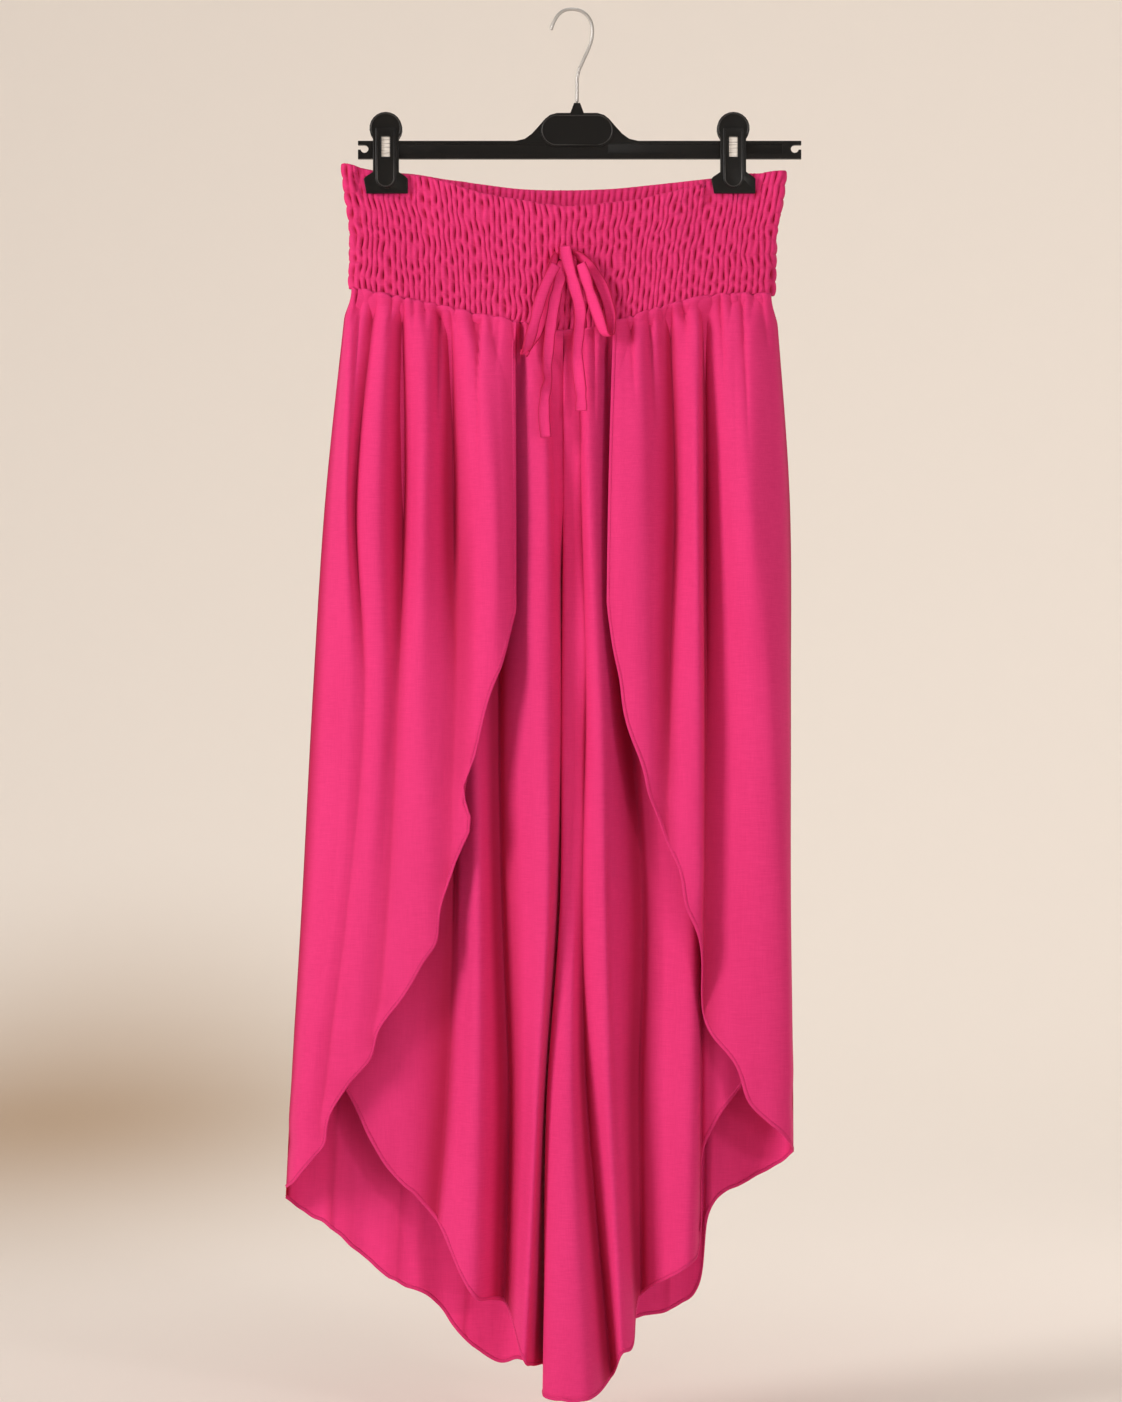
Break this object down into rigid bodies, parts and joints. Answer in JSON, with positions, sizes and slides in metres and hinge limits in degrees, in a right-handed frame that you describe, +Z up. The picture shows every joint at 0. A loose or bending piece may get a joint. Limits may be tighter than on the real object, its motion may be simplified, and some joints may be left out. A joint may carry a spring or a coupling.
{
  "type": "wide-leg pants on a clip hanger",
  "caption": "Wide-leg pants with petal front wraps, a smocked waistband and a tied drawstring, held by the waist in the clips of a trouser hanger.",
  "frame": {"origin": "inside top of the hanger's hook, where a rail carries it", "axes": "+Z up along the hang, +X to the wearer's left, -Y to the front"},
  "size_m": [0.4436, 0.1052, 1.1894],
  "materials": {
    "cloth": "soft matte woven viscose crepe, fuchsia pink",
    "plastic": "satin moulded black",
    "steel": "polished wire and strip"
  },
  "bodies": {
    "root": {"waistband": "cloth", "wrap_right": "cloth", "wrap_left": "cloth", "leg_front_right": "cloth", "leg_front_left": "cloth", "leg_back_right": "cloth", "leg_back_left": "cloth", "drawstring_knot": "cloth", "drawstring_loop_right": "cloth", "drawstring_loop_left": "cloth", "drawstring_tail_right": "cloth", "drawstring_tail_left": "cloth", "hanger_hook": "steel", "hanger_bar": "plastic", "clip_front_right": "plastic", "clip_back_right": "plastic", "clip_strip_right": "steel", "clip_front_left": "plastic", "clip_back_left": "plastic", "clip_strip_left": "steel"}
  },
  "joints": []
}
